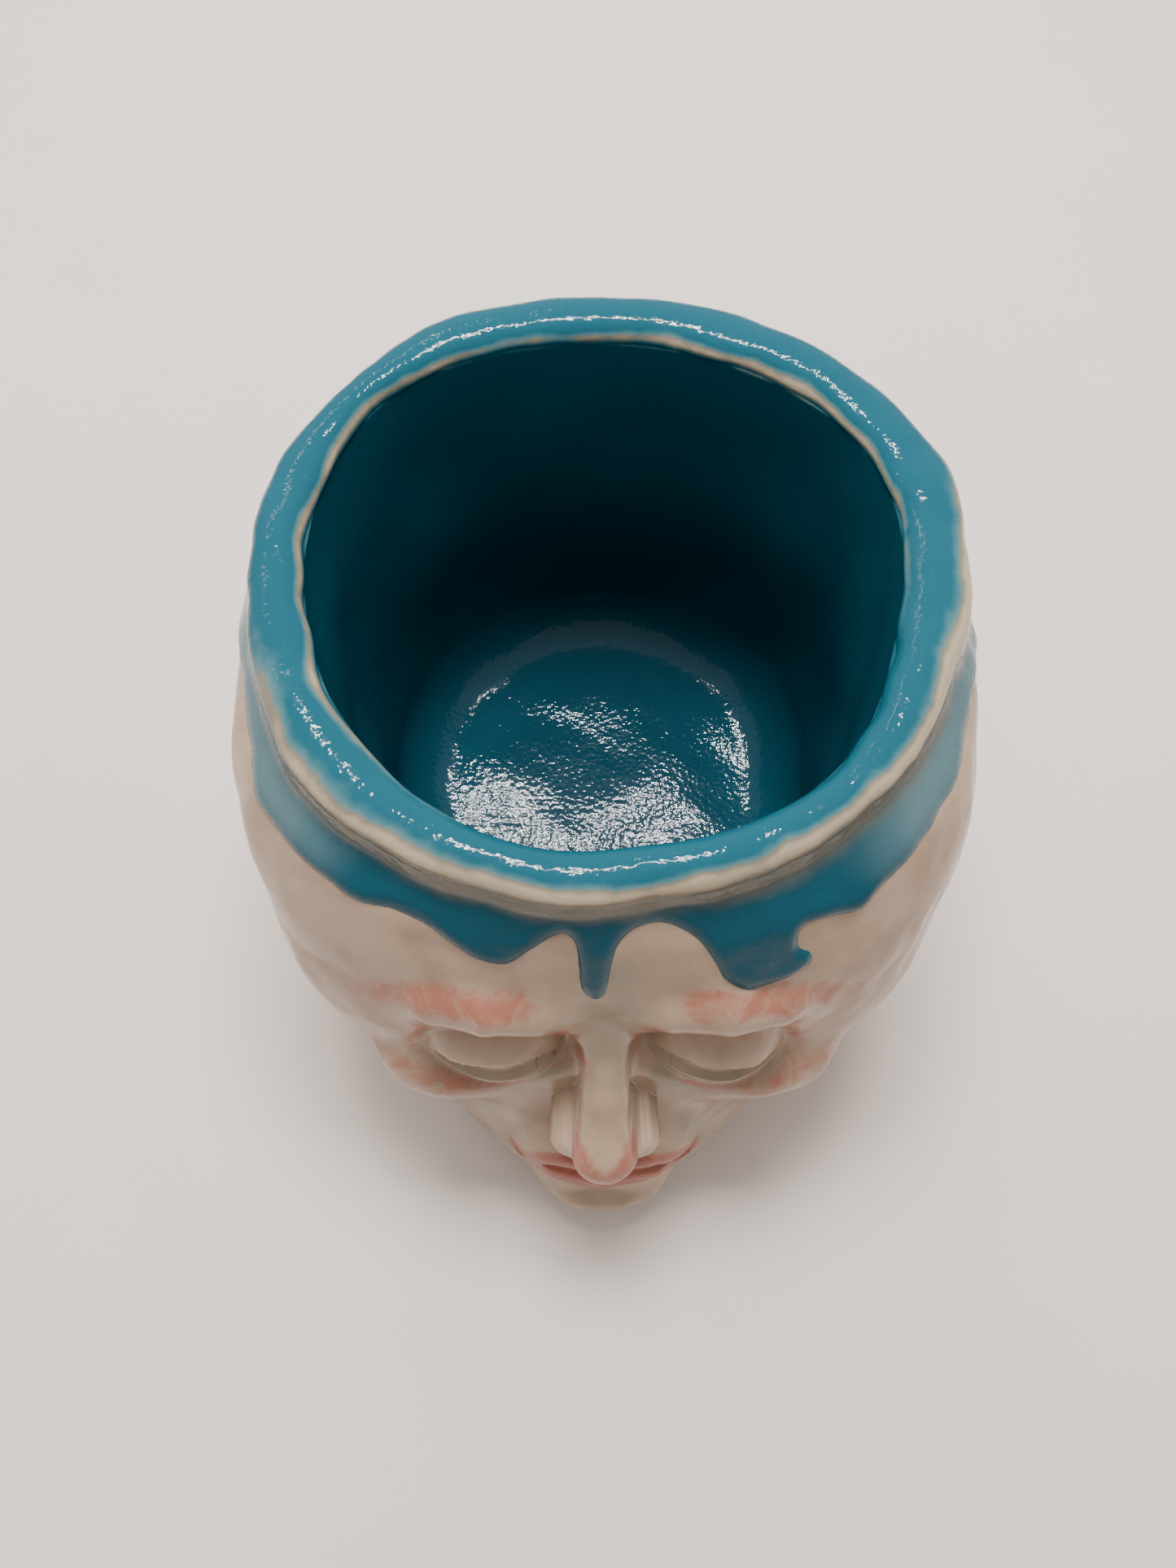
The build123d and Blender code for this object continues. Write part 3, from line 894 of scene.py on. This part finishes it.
# Painted shade inside the cup: how dark it is at the rim, growing down the wall.
INSIDE_SHADE_AT_RIM = 0.05
DEEP_IN_DRIPS = 0.45


def finish_piece(piece, node):
    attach(piece, "root")
    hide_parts(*node)


def shell_piece(name, surface, values, thickness, material):
    """A closed piece with the given outer surface, and the values of its points for the material."""
    points, faces, normals, used = closed_shell(*surface, thickness)
    values = {key: np.tile(value[used], 2) for key, value in values.items()}
    return make_piece(name, points, faces, normals, material, values)


def build_clay(skin, material):
    """One piece of the clay's skin for each part."""
    points, faces, normals, owner, _ = skin
    blush, pool = blush_and_pool(points)
    values = {"blush": blush, "pool": pool, "bare": bare_foot(points)}
    groups = {part: [] for part in PARTS}
    for face in faces:
        groups[PARTS[owner[face[0]]]].append(face)
    for part, group in groups.items():
        thickness = WALL_SHELL if part in BIG_PARTS else FACE_SHELL
        piece = shell_piece(part + "_clay", (points, group, normals), values, thickness, material)
        nodes = [part, "corner_coil"] if part == "base_slab" else [part]
        finish_piece(piece, nodes)


def build_glaze(skin, material):
    """The coat over the rim and the liner inside."""
    coat = points, _, normals = rim_coat(skin)
    thin, thin_shaded_neck, sheen = rim_thinning(points, normals)
    # Inside the rim the darkening is painted shade; outside it is the thicker glaze down to the drips.
    inside = turned(points, normals)[1] < -60
    depth_and_shade = np.where(inside, INSIDE_SHADE_AT_RIM, DEEP_IN_DRIPS) * smoothstep(74.5, 70.5, points[:, 2])
    values = {"thin": thin, "thin_shaded_neck": thin_shaded_neck, "sheen": sheen, "depth_and_shade": depth_and_shade}
    piece = shell_piece("rim_glaze_coat", coat, values, COAT_BACK, material)
    finish_piece(piece, ["rim_glaze"])

    lining = points, _, _ = liner()
    # Painted shade: the liner darkens down the wall towards the floor, a little less round the floor's
    # edge.
    down = smoothstep(60, 16, points[:, 2])
    on_floor = smoothstep(FLOOR_TOP + 16, FLOOR_TOP, points[:, 2])
    off_centre = smoothstep(10, 27, np.hypot(points[:, 0], points[:, 1]))
    depth_and_shade = INSIDE_SHADE_AT_RIM + (1 - INSIDE_SHADE_AT_RIM) * down * (1 - 0.35 * on_floor * off_centre)
    nothing = np.zeros(len(points))
    values = {"thin": nothing, "thin_shaded_neck": nothing - 1, "sheen": nothing - 1, "depth_and_shade": depth_and_shade}
    piece = shell_piece("liner_glaze_coat", lining, values, LINER_BACK, material)
    finish_piece(piece, ["liner_glaze"])


# ---- stage, lights and camera ----
FLOOR_HALF = 3


def build_stage():
    mesh = bpy.data.meshes.new("floor")
    corners = [(x * FLOOR_HALF, y * FLOOR_HALF, 0) for x, y in ((-1, -1), (1, -1), (1, 1), (-1, 1))]
    mesh.from_pydata(corners, [], [(0, 1, 2, 3)])
    mesh.materials.append(floor_paper())
    floor = bpy.data.objects.new("floor", mesh)
    bpy.context.scene.collection.objects.link(floor)


def strip_light(name, centre, length, width, power):
    """A flat lamp that hangs level and shines down: length is along X and width along Y, in metres."""
    light = bpy.data.lights.new(name, "AREA")
    light.shape = "RECTANGLE"
    light.size, light.size_y = length, width
    light.energy = power
    lamp = bpy.data.objects.new(name, light)
    lamp.location = centre
    bpy.context.scene.collection.objects.link(lamp)
    return lamp


LAMP_HEIGHT = 0.62
# Rows of small lamps: start (x, y), end (x, y), how many, the size of each, and the row's power.
LAMP_ROWS = [
    ((-0.085, 0.190), (0.055, 0.190), 4, (0.026, 0.007), 1.6),
    ((-0.085, 0.225), (0.055, 0.225), 4, (0.026, 0.007), 1.6),
    ((-0.45, 0.42), (-0.12, 0.55), 6, (0.050, 0.009), 0.6),
]
KEY_PLACE = (0.0, 0.16, 0.62)
KEY_SIZE = (0.28, 0.18)
KEY_POWER = 6.3
ROOM_DIM = 0.50
ROOM_BRIGHT = 0.90
ROOM_HORIZON = 0.52
ROOM_SPAN = 0.9
HORIZON_BAND = 0.40
FILL_PLACE = (-0.45, 1.0, 0.85)
FILL_SIZE = 1.2
FILL_POWER = 8.5


def build_lights():
    """A soft room that is brighter behind the mug, soft lamps for its light, and rows of small
    lamps over it that show only as reflections."""
    world = bpy.data.worlds.new("soft_room")
    world.use_nodes = True
    tree = world.node_tree
    background = tree.nodes["Background"]
    background.inputs["Color"].default_value = (1.0, 0.98, 0.96, 1.0)
    split = tree.nodes.new("ShaderNodeSeparateXYZ")
    tree.links.new(tree.nodes.new("ShaderNodeTexCoord").outputs["Generated"], split.inputs["Vector"])

    def ramp(axis, low, high, at_low, at_high):
        node = tree.nodes.new("ShaderNodeMapRange")
        keys = ("From Min", "From Max", "To Min", "To Max")
        for key, number in zip(keys, (low, high, at_low, at_high)):
            node.inputs[key].default_value = number
        tree.links.new(split.outputs[axis], node.inputs["Value"])
        return node.outputs["Result"]

    strength = tree.nodes.new("ShaderNodeMix")
    strength.inputs["B"].default_value = ROOM_HORIZON
    tree.links.new(ramp("Z", 0.0, HORIZON_BAND, 1.0, 0.0), strength.inputs["Factor"])
    tree.links.new(ramp("Y", -ROOM_SPAN, ROOM_SPAN, ROOM_DIM, ROOM_BRIGHT), strength.inputs["A"])
    tree.links.new(strength.outputs["Result"], background.inputs["Strength"])
    bpy.context.scene.world = world

    for row, (start, end, count, size, power) in enumerate(LAMP_ROWS):
        for i in range(count):
            x, y = (a + (b - a) * i / (count - 1) for a, b in zip(start, end))
            lamp = strip_light(f"lamp_{row}_{i}", (x, y, LAMP_HEIGHT), *size, power / count)
            lamp.rotation_euler = (0, 0, math.atan2(end[1] - start[1], end[0] - start[0]))
            lamp.visible_diffuse = False

    key = strip_light("soft_key", KEY_PLACE, *KEY_SIZE, KEY_POWER)
    fill = strip_light("soft_fill", FILL_PLACE, FILL_SIZE, FILL_SIZE, FILL_POWER)
    fill.rotation_euler = Vector(FILL_PLACE).to_track_quat("Z", "Y").to_euler()
    key.visible_glossy = fill.visible_glossy = False


CAMERA_PLACE = (-0.0023, -0.0850, 0.2020)
CAMERA_DOWN = 66.4
CAMERA_LENS = 28.08


def build_camera():
    """Close above and in front of the face, looking steeply down into the cup."""
    data = bpy.data.cameras.new("camera")
    data.lens = CAMERA_LENS
    data.sensor_width = 36.0
    data.clip_start = 0.005
    camera = bpy.data.objects.new("camera", data)
    camera.location = CAMERA_PLACE
    camera.rotation_euler = (math.radians(90 - CAMERA_DOWN), 0.0, 0.0)
    bpy.context.scene.collection.objects.link(camera)
    bpy.context.scene.camera = camera


def main():
    skin = clay_skin()
    build_clay(skin, clear_glaze())
    build_glaze(skin, teal_glaze())
    build_stage()
    build_lights()
    build_camera()


main()
